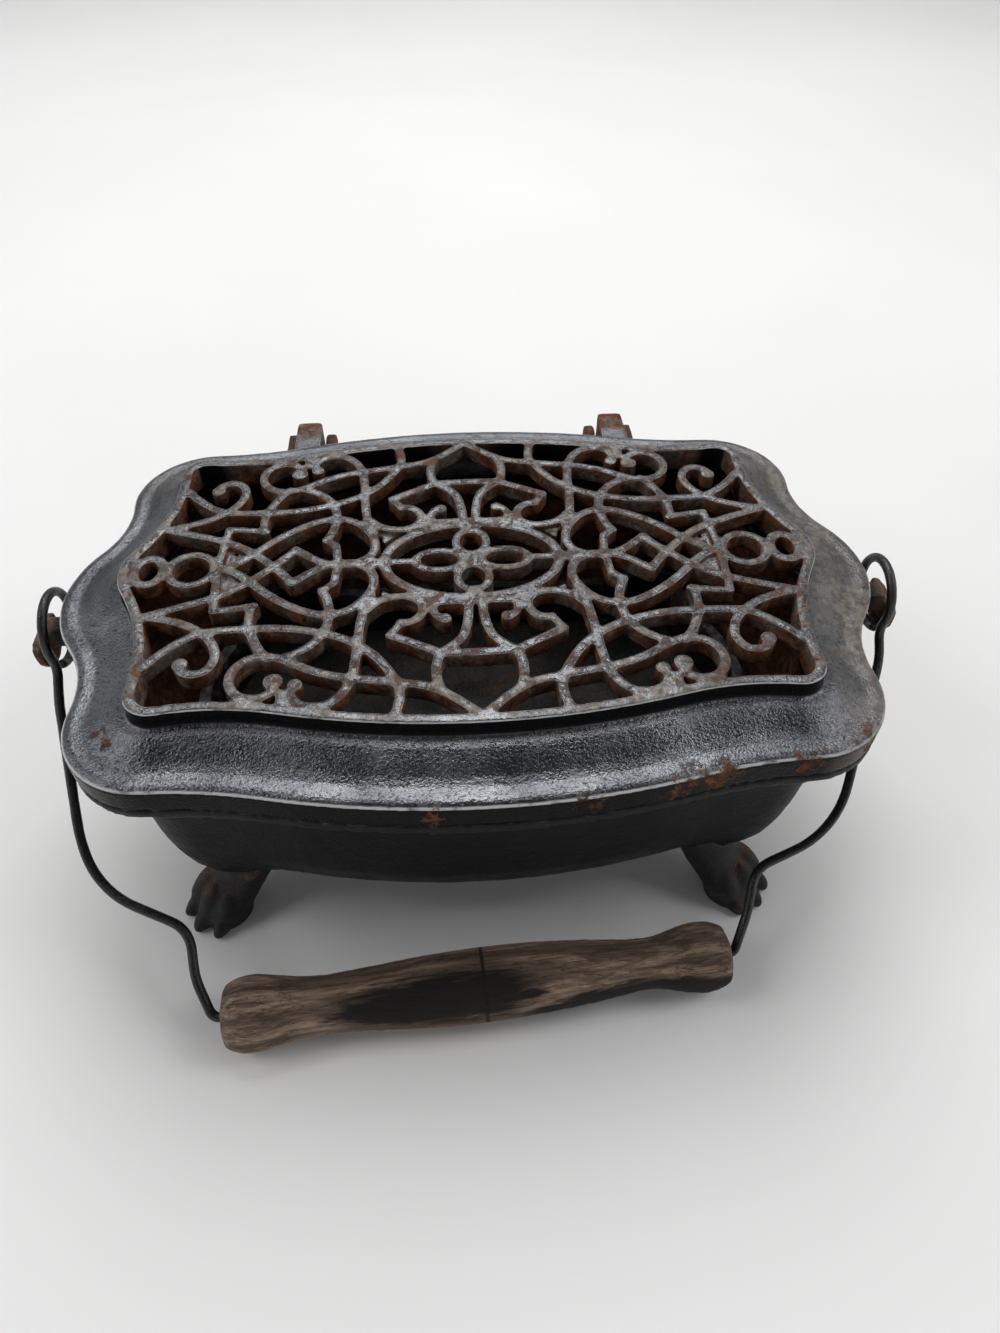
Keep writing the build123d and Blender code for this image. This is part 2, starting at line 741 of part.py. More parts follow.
def bail_path():
    """The wire's middle line, from the end of one eye to the end of the other."""
    left_run, left_bend, left_loop = eye_arcs(-1)
    right_run, right_bend, right_loop = eye_arcs(1)
    along = (grip_stop - grip_start).normalized()
    left_corners = (            # share across, share away, radius of the bend
        (0.993, 0.197, 40.0), (0.865, 0.542, 60.0), (0.746, 0.677, 33.0), (0.211, 0.783, 12.0),
        (0.177, 0.905, 25.0),
    )
    right_corners = ((0.136, 0.89, 25.0), (0.197, 0.771, 11.0), (0.671, 0.677, 36.0), (0.994, 0.195, 30.0))
    corners_and_radii = [(arm_point(-1, *corner), radius) for *corner, radius in left_corners]
    corners_and_radii += [(grip_start - along * 4.2, 4.0), (grip_stop + along * 3.0, 3.0)]
    corners_and_radii += [(arm_point(1, *corner), radius) for *corner, radius in right_corners]
    points = [left_run] + [place for place, _ in corners_and_radii] + [right_run]
    middle = FilletPolyline(*points, radius=[radius for _, radius in corners_and_radii])
    return Wire([left_loop, left_bend] + middle.edges() + [right_bend, right_loop])


def bail_wire():
    """Round wire along the bail's path."""
    path = bail_path()
    start = Plane(origin=path @ 0, z_dir=path % 0)
    return sweep(start * Circle(wire_radius), path=path)


def bail_grip():
    """Turned wooden grip, bored through along its axis."""
    points = [Vector(along * grip_length, grip_radius * share) for along, share in grip_profile]
    bore = wire_radius + grip_bore_clearance
    edges = [
        Spline(*points),
        Line(points[-1], Vector(grip_length, bore)),
        Line(Vector(grip_length, bore), Vector(0, bore)),
        Line(Vector(0, bore), points[0]),
    ]
    turned = revolve(make_face(Wire(edges)), Axis.X)
    along = (grip_stop - grip_start).normalized()
    place = Plane(origin=grip_start, x_dir=along, z_dir=along.cross(Vector(0, 1, 0)).normalized())
    return place * turned


# ---------------------------------------------------------------- ember pan
def ember_pan():
    """Sheet-iron pan that lies loose on the tub's floor, with flared walls and a turned rim."""
    low = tub_floor_height + tub_wall + pan_seat_gap
    foot_outline = grow(floor_outline, -tub_wall - pan_side_gap)
    top_outline = grow(foot_outline, pan_flare)
    outside = stack([(foot_outline, low), (top_outline, low + pan_height)])
    outside += slab(grow(top_outline, pan_rim), low + pan_height - pan_wall, low + pan_height)
    inside = stack(
        [
            (grow(foot_outline, -pan_wall), low + pan_wall),
            (grow(top_outline, -pan_wall), low + pan_height + pan_wall),
        ]
    )
    return outside - inside


# ---------------------------------------------------------------- writing
os.makedirs("parts", exist_ok=True)
envelope = tub_envelope()
nodes = {
    "tub": tub(),
    "lid": lid(),
    "hinge_pin_left": hinge_pin(-1),
    "hinge_pin_right": hinge_pin(1),
    "bail_wire": bail_wire(),
    "bail_grip": bail_grip(),
    "foot_rivets": foot_rivets(),
    "ember_pan": ember_pan(),
}
for corner_side_x, corner_side_y, corner_name in corners:
    nodes[f"foot_{corner_name}"] = foot(corner_side_x, corner_side_y, envelope)

# The whole part is centred over its origin, from the hinge ears to the grip.
back_reach = nodes["tub"].bounding_box().max.Y
front_reach = nodes["bail_grip"].bounding_box().min.Y
middle_y = (back_reach + front_reach) / 2
for name, shape in nodes.items():
    export_step(Pos(0, -middle_y, 0) * shape, f"parts/{name}.step")
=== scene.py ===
import json
import math

import bpy
import numpy as np
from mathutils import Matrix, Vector

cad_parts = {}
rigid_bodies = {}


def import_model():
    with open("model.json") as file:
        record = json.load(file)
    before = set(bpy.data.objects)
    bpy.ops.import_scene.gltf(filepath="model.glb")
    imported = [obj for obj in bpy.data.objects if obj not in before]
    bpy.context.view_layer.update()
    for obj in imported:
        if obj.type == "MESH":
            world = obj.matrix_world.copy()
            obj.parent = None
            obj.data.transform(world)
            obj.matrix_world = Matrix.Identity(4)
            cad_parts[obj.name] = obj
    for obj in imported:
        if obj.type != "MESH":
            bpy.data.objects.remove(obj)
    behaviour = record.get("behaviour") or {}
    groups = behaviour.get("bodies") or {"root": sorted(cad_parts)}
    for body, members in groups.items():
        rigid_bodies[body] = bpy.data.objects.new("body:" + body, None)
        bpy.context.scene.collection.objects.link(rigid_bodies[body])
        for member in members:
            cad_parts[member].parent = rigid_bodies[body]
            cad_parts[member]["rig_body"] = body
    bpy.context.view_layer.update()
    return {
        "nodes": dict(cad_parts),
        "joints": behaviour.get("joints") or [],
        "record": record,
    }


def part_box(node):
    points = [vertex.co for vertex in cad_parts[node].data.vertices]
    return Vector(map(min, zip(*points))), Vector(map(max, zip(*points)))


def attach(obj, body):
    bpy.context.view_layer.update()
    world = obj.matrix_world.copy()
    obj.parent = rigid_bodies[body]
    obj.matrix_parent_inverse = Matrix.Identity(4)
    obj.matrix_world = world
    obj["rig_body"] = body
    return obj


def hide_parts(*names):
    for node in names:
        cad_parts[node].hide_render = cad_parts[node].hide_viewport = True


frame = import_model()
nodes = frame["nodes"]
body_of_node = {name: obj["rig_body"] for name, obj in nodes.items()}
joint_named = {row["name"]: row for row in frame["joints"]}
mount_named = {row["name"]: row for row in frame["record"]["mounts"]}

tub_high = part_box("tub")[1]
lid_low, lid_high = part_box("lid")
top_z = lid_high.z                                      # flat top of the grille
tub_middle_y = mount_named["grille_top"]["pos_m"][1]    # the tub's and the lid's middle
lid_half_length = lid_high.x
lid_half_width = tub_middle_y - lid_low.y


# ---------------------------------------------------------------- meshes
def finished(obj):
    """Work the object's modifiers into its mesh."""
    graph = bpy.context.evaluated_depsgraph_get()
    mesh = bpy.data.meshes.new_from_object(obj.evaluated_get(graph))
    obj.modifiers.clear()
    old = obj.data
    obj.data = mesh
    bpy.data.meshes.remove(old)


def coordinates(mesh):
    points = np.empty(len(mesh.vertices) * 3, np.float32)
    mesh.vertices.foreach_get("co", points)
    return points.reshape(-1, 3)


def put(mesh, points):
    mesh.vertices.foreach_set("co", np.ascontiguousarray(points, np.float32).ravel())
    mesh.update()


def normals(mesh):
    ways = np.empty(len(mesh.vertices) * 3, np.float32)
    mesh.vertex_normals.foreach_get("vector", ways)
    return ways.reshape(-1, 3)


def lumps(points, size, seed, waves=14):
    """Smooth seeded unevenness between about -1 and 1, with lumps of about this size."""
    rng = np.random.default_rng(seed)
    total = np.zeros(len(points))
    for _ in range(waves):
        way = rng.normal(size=3)
        way *= (0.6 + 0.8 * rng.random()) * 2 * math.pi / size / np.linalg.norm(way)
        total += np.sin(points @ way + rng.random() * 2 * math.pi)
    return total / math.sqrt(waves / 2) / 2


BROAD_LUMPS = (0.011, 3, 0.6)       # size, seed, share of the unevenness
FINE_LUMPS = (0.0035, 5, 0.4)


def cast(node, voxel, rounds, uneven, kept):
    """A casting's soft-edged, slightly uneven skin in place of a CAD node."""
    obj = bpy.data.objects.new(node + "_cast", nodes[node].data.copy())
    bpy.context.scene.collection.objects.link(obj)
    skin = obj.modifiers.new("skin", "REMESH")
    skin.mode = "VOXEL"
    skin.voxel_size = voxel * 1.0
    soften = obj.modifiers.new("soften", "SMOOTH")
    soften.iterations = rounds
    soften.factor = 0.5
    finished(obj)
    points = coordinates(obj.data)
    lift = sum(lumps(points, size, seed) * share for size, seed, share in (BROAD_LUMPS, FINE_LUMPS))
    put(obj.data, points + normals(obj.data) * (lift * uneven)[:, None])
    if kept < 1:
        thin = obj.modifiers.new("thin", "DECIMATE")
        thin.ratio = kept
        finished(obj)
    obj.data.polygons.foreach_set("use_smooth", np.ones(len(obj.data.polygons), bool))
    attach(obj, body_of_node[node])
    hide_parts(node)
    return obj


# ---------------------------------------------------------------- node graphs
NOISES = {                          # patches in a metre, detail, roughness, distortion
    "sand": (1300, 2, 0.60, 0.0),
    "hollows": (900, 3, 0.60, 0.0),
    "rust grain": (700, 5, 0.70, 0.0),
    "pits": (480, 4, 0.65, 0.0),
    "dust": (330, 5, 0.70, 0.0),
    "rust tint": (260, 6, 0.70, 0.0),
    "chip edge": (230, 5, 0.75, 0.0),
    "edge wear": (170, 4, 0.60, 0.0),
    "lug rust": (170, 5, 0.70, 0.6),
    "bar rust": (150, 6, 0.72, 0.8),
    "lip wear and highlight": (150, 4, 0.65, 0.0),
    "bright rust": (140, 5, 0.65, 0.6),
    "wall dust": (140, 4, 0.70, 0.0),
    "hinge rust": (130, 5, 0.70, 0.6),
    "bar dust": (110, 5, 0.70, 0.8),
    "skirt rust": (95, 5, 0.70, 0.0),
    "sheen": (90, 4, 0.60, 0.0),
    "wall rust": (85, 5, 0.70, 0.5),
    "tub rust": (80, 5, 0.70, 0.5),
    "side dust": (60, 5, 0.70, 0.6),
    "rust": (55, 6, 0.68, 0.8),
    "mottle": (38, 5, 0.60, 0.4),
    "fibre": (1500, 5, 0.65, 0.3),
    "streak": (420, 5, 0.60, 0.8),
    "crack": (300, 3, 0.50, 1.5),
    "broad": (120, 4, 0.60, 0.5),
    "scorch": (75, 4, 0.65, 1.0),
    "backdrop": (2.2, 3, 0.55, 0.0),
}


class Graph:
    """A material's node tree, built by short calls that return sockets."""

    def __init__(self, name):
        self.material = bpy.data.materials.new(name)
        self.material.use_nodes = True
        self.tree = self.material.node_tree
        self.tree.nodes.clear()
        self.shader = self.node("ShaderNodeBsdfPrincipled")
        out = self.node("ShaderNodeOutputMaterial")
        self.tree.links.new(self.shader.outputs[0], out.inputs[0])
        where = self.node("ShaderNodeTexCoord")
        self.place = where.outputs["Object"]
        self.facing = where.outputs["Normal"]

    def node(self, kind):
        return self.tree.nodes.new(kind)

    def feed(self, socket, value):
        if isinstance(value, bpy.types.NodeSocket):
            self.tree.links.new(value, socket)
        elif isinstance(value, tuple) and socket.type == "RGBA":
            socket.default_value = (*value, 1.0)
        else:
            socket.default_value = value

    def mapped(self, place, kind="POINT", location=(0, 0, 0), turn=(0, 0, 0), scale=(1, 1, 1)):
        made = self.node("ShaderNodeMapping")
        made.vector_type = kind
        self.feed(made.inputs["Vector"], place)
        made.inputs["Location"].default_value = location
        made.inputs["Rotation"].default_value = turn
        made.inputs["Scale"].default_value = scale
        return made.outputs[0]

    def noise(self, name, place=None):
        """One of the named noises, over the object's own coordinates or others."""
        made = self.node("ShaderNodeTexNoise")
        self.feed(made.inputs["Vector"], place or self.place)
        for socket, value in zip(("Scale", "Detail", "Roughness", "Distortion"), NOISES[name]):
            made.inputs[socket].default_value = value
        return made.outputs["Fac"]

    def fit(self, value, low, high, to_low=0.0, to_high=1.0):
        """The value's range eased onto another one, and held at its ends."""
        made = self.node("ShaderNodeMapRange")
        made.interpolation_type = "SMOOTHSTEP"
        self.feed(made.inputs["Value"], value)
        made.inputs["From Min"].default_value = low
        made.inputs["From Max"].default_value = high
        made.inputs["To Min"].default_value = to_low
        made.inputs["To Max"].default_value = to_high
        return made.outputs[0]

    def patches(self, name, low, high, to_low=0.0, to_high=1.0):
        """Patches where a named noise runs from low to high."""
        return self.fit(self.noise(name), low, high, to_low, to_high)

    def work(self, kind, a, b=0.0):
        made = self.node("ShaderNodeMath")
        made.operation = kind
        self.feed(made.inputs[0], a)
        self.feed(made.inputs[1], b)
        return made.outputs[0]

    def vector_work(self, kind, a, b, output="Value"):
        made = self.node("ShaderNodeVectorMath")
        made.operation = kind
        self.feed(made.inputs[0], a)
        self.feed(made.inputs[1], b)
        return made.outputs[output]

    def split(self, vector):
        made = self.node("ShaderNodeSeparateXYZ")
        self.feed(made.inputs[0], vector)
        return made.outputs[0], made.outputs[1], made.outputs[2]

    def size_of(self, value):
        return self.work("ABSOLUTE", value)

    def plus(self, a, b):
        return self.work("ADD", a, b)

    def minus(self, a, b):
        return self.work("SUBTRACT", a, b)

    def both(self, first, *others):
        """The product of shares."""
        for other in others:
            first = self.work("MULTIPLY", first, other)
        return first

    def any_of(self, first, *others):
        """The greatest of shares."""
        for other in others:
            first = self.work("MAXIMUM", first, other)
        return first

    def mix(self, share, a, b):
        """Colour a turned towards b. In its colour mode a Mix node takes them in sockets 6 and 7."""
        made = self.node("ShaderNodeMix")
        made.data_type = "RGBA"
        self.feed(made.inputs[0], share)
        self.feed(made.inputs[6], a)
        self.feed(made.inputs[7], b)
        return made.outputs[2]

    def near(self, spot, inner, outer, ragged):
        """1 within the inner distance of a spot, falling to 0 at the outer one.

        ragged is added to the distance.
        """
        distance = self.plus(self.vector_work("DISTANCE", self.place, spot), ragged)
        return self.fit(distance, inner, outer, 1.0, 0.0)

    def off_centre(self, value, centre, reach):
        """Square of the distance from a centre, in reaches."""
        return self.work("POWER", self.work("DIVIDE", self.size_of(self.minus(value, centre)), reach), 2.0)

    def sharp_edges(self, low, high):
        """1 on sharp outward edges, from the surface's own curvature."""
        return self.fit(self.node("ShaderNodeNewGeometry").outputs["Pointiness"], low, high)

    def bump(self, height, distance, strength=1.0, under=None):
        made = self.node("ShaderNodeBump")
        made.inputs["Strength"].default_value = strength
        made.inputs["Distance"].default_value = distance
        self.feed(made.inputs["Height"], height)
        if under:
            self.feed(made.inputs["Normal"], under)
        return made.outputs[0]

    def done(self, colour, roughness, metallic, normal, specular):
        self.feed(self.shader.inputs["Base Color"], colour)
        self.feed(self.shader.inputs["Roughness"], roughness)
        self.feed(self.shader.inputs["Metallic"], metallic)
        self.shader.inputs["Specular IOR Level"].default_value = specular
        self.feed(self.shader.inputs["Normal"], normal)
        return self.material


# ---------------------------------------------------------------- iron
BLACKING_AND_SHADE = (0.006, 0.006, 0.007)    # blacking, and painted shade, on faces that don't look up
# Painted glints of light on the sandy skin's grains, put on upward faces only.
PAINTED_SAND_GLINT = (0.24, 0.24, 0.24)
HOLLOW = (0.012, 0.012, 0.012)
BARE_METAL = (0.42, 0.42, 0.43)
# Worn lips: partly real wear and partly a painted highlight line along the edges.
WORN_AND_HIGHLIT_LIP = (0.50, 0.50, 0.51)
RUST_DARK = (0.050, 0.024, 0.014)
RUST = (0.140, 0.060, 0.034)
RUST_BRIGHT = (0.260, 0.112, 0.066)
DUST_DARK = (0.085, 0.071, 0.060)
DUST = (0.230, 0.196, 0.165)
RUST_ROUGHNESS = 0.85
DUST_ROUGHNESS = 0.62
UPWARD = (0.55, 0.88)               # upward part of a face's normal, from black that is partly painted shade to mottled metal
SHARP = (0.53, 0.60)                # curvature between which an edge turns bare


def rust_colour(g):
    colour = g.mix(g.patches("rust tint", 0.35, 0.62), RUST_DARK, RUST)
    return g.mix(g.patches("bright rust", 0.52, 0.70), colour, RUST_BRIGHT)


def iron(name, dark, light, rusty, gloss, wear, weather=None, specular=0.3, grain=0.00022):
    """Blackened cast iron with a sandy skin.

    Upward faces are mottled metal from dark to light, with painted glints on their sand. The
    others stay black, partly from blacking and partly as painted shade. Rust sets in as its noise
    goes through the range rusty. A weather function takes that rust and returns all the rust, the
    dust, the share of bare edges that is kept and the worn lips, which carry a painted highlight too.
    """
    g = Graph(name)
    sand = g.noise("sand")
    rust = g.patches("rust", *rusty)
    dust, edges, lip_wear_and_highlight = 0.0, 1.0, 0.0
    if weather:
        rust, dust, edges, lip_wear_and_highlight = weather(g, rust)
    upward = g.fit(g.split(g.facing)[2], *UPWARD)
    bare = g.both(g.sharp_edges(*SHARP), g.patches("edge wear", 0.40, 0.56, 0.1, 1.0), edges, wear)

    # Faces that don't look up stay black: partly blacking, partly painted shade.
    colour = g.mix(upward, BLACKING_AND_SHADE, g.mix(g.patches("mottle", 0.35, 0.68), dark, light))
    # Painted glints: bright sand grains on upward faces.
    colour = g.mix(g.both(upward, g.fit(sand, 0.60, 0.72, 0.0, 0.3)), colour, PAINTED_SAND_GLINT)
    colour = g.mix(g.patches("hollows", 0.46, 0.34, 0.0, 0.75), colour, HOLLOW)
    colour = g.mix(bare, colour, BARE_METAL)
    # Worn lips: partly wear, partly a painted highlight.
    colour = g.mix(lip_wear_and_highlight, colour, WORN_AND_HIGHLIT_LIP)
    colour = g.mix(dust, colour, g.mix(g.patches("dust", 0.35, 0.65), DUST_DARK, DUST))
    colour = g.mix(rust, colour, rust_colour(g))

    rough = g.patches("sheen", 0.3, 0.7, gloss - 0.05, gloss + 0.08)
    rough = g.any_of(g.both(rust, RUST_ROUGHNESS), rough, g.both(dust, DUST_ROUGHNESS))
    uncovered = g.minus(1.0, g.any_of(rust, dust, lip_wear_and_highlight))
    metallic = g.both(g.any_of(g.both(upward, 0.9), bare), uncovered)

    normal = g.bump(sand, grain)
    normal = g.bump(g.noise("pits"), grain * 1.3, 0.6, normal)
    normal = g.bump(g.both(rust, g.noise("rust grain")), 0.0008, 0.8, normal)
    return g.done(colour, rough, metallic, normal, specular)


# The lid's weather: the grille's own zone, then distances at which a zone starts and is full.
GRILLE_END = 0.0243                 # in from the lid's ends to just inside the grille's wall
GRILLE_SIDE = 0.0244                # and in from its long sides
GRILLE_FADE = 0.0015                # width over which it starts
GRILLE_END_DRAW = 0.25              # how much the ends draw in towards the corners
GRILLE_SIDE_DRAW = 0.11             # and the long sides
GRILLE_END_REACH = 0.034            # from the middle line to where the ends draw in no more

RAISED = (0.0060, 0.0045)           # below the grille's top
GRILLE_LIP = (0.0030, 0.0020)
SKIRT_LIP_UPPER = (0.0090, 0.0100)
SKIRT_LIP_LOWER = (0.0150, 0.0138)
SKIRT = (0.011, 0.014)
DUSTY_RIGHT = (0.0428, 0.0088)      # in from the right end
RUSTY_RIGHT = (0.0448, 0.0128)
DUSTY_ENDS = (0.0428, 0.0178)       # in from both ends
DUSTY_REAR = (0.0449, 0.0099)       # in from the rear
LID_HINGES = (0.0009, -0.0041)      # from just within the rear to just beyond it
UPRIGHT = (0.80, 0.45)              # upward part of a face's normal
LEVEL = (0.55, 0.85)
LIP_FROM_SIDE = (0.30, 0.50)
LIP_FROM_TOP = (0.90, 0.72)

CHIPS = (                           # along, in from the lid's front, below its top, inner and outer radius
    (0.060, 0.003, 0.015, 0.0020, 0.008),
    (0.070, 0.006, 0.015, 0.0020, 0.008),
    (0.030, 0.000, 0.016, 0.0010, 0.004),
    (-0.016, 0.000, 0.016, 0.0005, 0.004),
    (0.098, 0.012, 0.015, 0.0005, 0.004),
    (0.119, 0.019, 0.015, 0.0010, 0.007),
    (-0.114, 0.030, 0.010, 0.0005, 0.003),
)


def grille_zone(g, off_x, off_y):
    """1 inside the grille's wall, which draws in from the middle of each side to the corners."""
    drawn_x = g.plus(off_x, g.both(g.work("MINIMUM", off_y, GRILLE_END_REACH), GRILLE_END_DRAW))
    drawn_y = g.plus(off_y, g.both(off_x, GRILLE_SIDE_DRAW))
    end = lid_half_length - GRILLE_END
    side = lid_half_width - GRILLE_SIDE
    within_ends = g.fit(drawn_x, end - GRILLE_FADE, end, 1.0, 0.0)
    within_sides = g.fit(drawn_y, side - GRILLE_FADE, side, 1.0, 0.0)
    return g.both(within_ends, within_sides)


def chipped(g):
    """Ragged rusty chips along the skirt."""
    ragged = g.patches("chip edge", 0.30, 0.70, -0.005, 0.005)
    chips = 0.0
    for along, inward, down, inner, outer in CHIPS:
        spot = (along, lid_low.y + inward, top_z - down)
        chips = g.any_of(chips, g.near(spot, inner, outer, ragged))
    return chips


def lid_weather(g, rust):
    """Rusty, dusty grille, worn lips that are partly a painted highlight, chips, rust and dust on the
    right and by the hinges.
    """
    x, y, z = g.split(g.place)
    y = g.minus(y, tub_middle_y)
    off_x = g.size_of(x)
    below = g.minus(top_z, z)
    from_right = g.minus(lid_half_length, x)
    from_end = g.minus(lid_half_length, off_x)
    from_rear = g.minus(lid_half_width, y)
    facing_up = g.split(g.facing)[2]
    upright = g.fit(g.size_of(facing_up), *UPRIGHT)

    grille = grille_zone(g, off_x, g.size_of(y))
    walls = g.both(upright, grille)
    raised = g.fit(below, *RAISED)
    wall_rust = g.both(walls, g.patches("wall rust", 0.39, 0.55, 0.12, 1.0))
    wall_dust = g.both(walls, g.patches("wall dust", 0.35, 0.60, 0.45, 0.95))
    bar_dust = g.both(raised, g.fit(facing_up, *LEVEL), g.patches("bar dust", 0.42, 0.66, 0.05, 0.85))
    bar_rust = g.both(grille, raised, g.patches("bar rust", 0.50, 0.65, 0.0, 0.75))

    # A lip is worn, and gets a painted highlight, where the surface turns from level to upright.
    turning = g.both(g.fit(facing_up, *LIP_FROM_SIDE), g.fit(facing_up, *LIP_FROM_TOP))
    skirt_lip = g.both(g.fit(below, *SKIRT_LIP_UPPER), g.fit(below, *SKIRT_LIP_LOWER))
    lips = g.any_of(skirt_lip, g.fit(below, *GRILLE_LIP))
    lip_wear_and_highlight = g.both(turning, lips, g.patches("lip wear and highlight", 0.30, 0.50, 0.30, 1.0))

    right_dust = g.both(g.fit(from_right, *DUSTY_RIGHT), g.patches("side dust", 0.34, 0.60, 0.20, 0.85))
    corner_dust = g.both(g.fit(from_end, *DUSTY_ENDS), g.fit(from_rear, *DUSTY_REAR, 0.0, 0.6))
    hinges = g.fit(from_rear, *LID_HINGES)
    hinge_rust = g.both(hinges, g.patches("hinge rust", 0.40, 0.58, 0.15, 0.95))
    right_skirt = g.both(g.fit(from_right, *RUSTY_RIGHT), g.fit(below, *SKIRT))
    skirt_rust = g.both(right_skirt, g.patches("skirt rust", 0.40, 0.58), 0.8)

    rust = g.any_of(g.both(rust, 0.8), wall_rust, bar_rust, chipped(g), hinge_rust, skirt_rust)
    dust = g.any_of(bar_dust, wall_dust, right_dust, corner_dust, g.both(hinges, 0.75))
    edges = g.fit(grille, 0.0, 1.0, 1.0, 0.8)
    return rust, dust, edges, g.both(lip_wear_and_highlight, g.fit(grille, 0.0, 1.0, 1.0, 0.35))


# The tub's weather, again as distances at which a zone starts and is full.
LUGS = (0.009, 0.004)               # in from the lugs' outer ends
TUB_HINGES = (0.0191, 0.0131)       # in from the hinges' rear
UNDER_RIM = (0.002, 0.006)          # below the rim's top
ABOVE_MOUTH = (0.0, tub_middle_y, top_z + 0.015)    # the tub's inner faces look towards this point
INWARD = (-0.004, -0.012)           # minus that point's distance in front of a face's plane


def tub_weather(g, rust):
    """Rust inside the tub, under the hinges and on the lugs, and dust on the lugs."""
    x, y, z = g.split(g.place)
    lugs = g.fit(g.minus(tub_high.x, g.size_of(x)), *LUGS)
    hinges = g.fit(g.minus(tub_high.y, y), *TUB_HINGES)
    outside = g.both(g.any_of(lugs, hinges), g.patches("lug rust", 0.36, 0.60, 0.25, 1.0))
    from_mouth = g.vector_work("SUBTRACT", g.place, ABOVE_MOUTH, "Vector")
    inward = g.fit(g.vector_work("DOT_PRODUCT", from_mouth, g.facing), *INWARD)
    under_rim = g.fit(g.minus(tub_high.z, z), *UNDER_RIM)
    inside = g.both(inward, under_rim, g.patches("tub rust", 0.30, 0.52, 0.35, 0.95))
    return g.any_of(rust, outside, inside), g.both(lugs, 0.6), 1.0, 0.0


# ---------------------------------------------------------------- wood
WOOD_DARK = (0.120, 0.078, 0.055)
WOOD = (0.330, 0.225, 0.160)
WOOD_WORN = (0.440, 0.350, 0.280)
WOOD_STAIN = (0.060, 0.038, 0.028)
CHARRED = (0.006, 0.005, 0.005)
CRACK = (0.012, 0.009, 0.008)
SCORED = (0.008, 0.006, 0.005)
FACE_UP = (0.74, 0.67)              # across and up, for upward as the camera sees the grip
SCORCHES = (                        # along the grip, up its face, half length and half height
    (-0.014, 0.0005, 0.034, 0.0080),
    (0.058, -0.0095, 0.038, 0.0070),
)
RING_PLACE = 0.0004                 # scored ring, from the grip's middle
RING_HALF_WIDTH = (0.00035, 0.00080)


def wood(name):
    """Old turned grip: brown, worn grey, scorched in two places, with a ring scored round it."""
    g = Graph(name)
    joint = joint_named["grip_spin"]
    lean = math.atan2(joint["axis"][1], joint["axis"][0])
    own = g.mapped(g.place, "TEXTURE", Vector(joint["pos_m"]), (0, 0, lean))
    along, across, up = g.split(own)
    grain = g.mapped(own, scale=(0.10, 1.0, 1.0))
    fibre, streak, broad, crack = (g.noise(each, grain) for each in ("fibre", "streak", "broad", "crack"))

    colour = g.mix(g.fit(streak, 0.35, 0.66), WOOD_DARK, WOOD)
    colour = g.mix(g.fit(fibre, 0.50, 0.72, 0.0, 0.55), colour, WOOD_WORN)
    colour = g.mix(g.fit(broad, 0.58, 0.40, 0.0, 0.55), colour, WOOD_STAIN)

    face = g.plus(g.both(across, FACE_UP[0]), g.both(up, FACE_UP[1]))
    flames = g.minus(g.plus(g.noise("scorch", grain), g.both(streak, 0.8)), 0.9)
    char = g.both(g.fit(broad, 0.60, 0.44), 0.30)
    for middle, height, half_length, half_height in SCORCHES:
        far = g.plus(g.off_centre(along, middle, half_length), g.off_centre(face, height, half_height))
        char = g.any_of(char, g.fit(g.minus(far, g.both(flames, 2.4)), 0.75, 1.5, 1.0, 0.0))
    colour = g.mix(g.both(char, 0.97), colour, CHARRED)

    cracks = g.both(g.fit(crack, 0.485, 0.500), g.fit(crack, 0.515, 0.500))
    colour = g.mix(g.both(cracks, 0.55), colour, CRACK)
    ring = g.fit(g.size_of(g.minus(along, RING_PLACE)), *RING_HALF_WIDTH, 1.0, 0.0)
    colour = g.mix(g.both(ring, 0.9), colour, SCORED)

    height = g.minus(g.both(fibre, 0.35), g.plus(ring, g.both(cracks, 0.4)))
    rough = g.fit(streak, 0.3, 0.7, 0.62, 0.80)
    return g.done(colour, rough, 0.0, g.bump(height, 0.0006, 0.8), 0.22)


# ---------------------------------------------------------------- the pieces
def paint(obj, material):
    obj.data.materials.clear()
    obj.data.materials.append(material)


lid_iron = iron(
    "lid_iron", dark=(0.085, 0.089, 0.098), light=(0.160, 0.166, 0.178), rusty=(0.66, 0.78),
    gloss=0.21, wear=1.0, weather=lid_weather, specular=0.05,
)
tub_iron = iron(
    "tub_iron", dark=(0.016, 0.016, 0.018), light=(0.034, 0.036, 0.039), rusty=(0.70, 0.82),
    gloss=0.42, wear=0.4, weather=tub_weather, specular=0.14,
)
foot_iron = iron(
    "foot_iron", dark=(0.024, 0.018, 0.015), light=(0.070, 0.046, 0.036), rusty=(0.50, 0.86),
    gloss=0.50, wear=0.3,
)
wire_iron = iron(
    "wire_iron", dark=(0.030, 0.030, 0.031), light=(0.075, 0.074, 0.072), rusty=(0.66, 0.76),
    gloss=0.36, wear=0.5, specular=0.5, grain=0.00015,
)
pin_iron = iron(
    "pin_iron", dark=(0.040, 0.036, 0.032), light=(0.090, 0.080, 0.070), rusty=(0.50, 0.66),
    gloss=0.45, wear=0.5,
)
pan_iron = iron(
    "pan_iron", dark=(0.030, 0.029, 0.028), light=(0.075, 0.070, 0.066), rusty=(0.56, 0.72),
    gloss=0.60, wear=0.3,
)
grip_wood = wood("grip_wood")

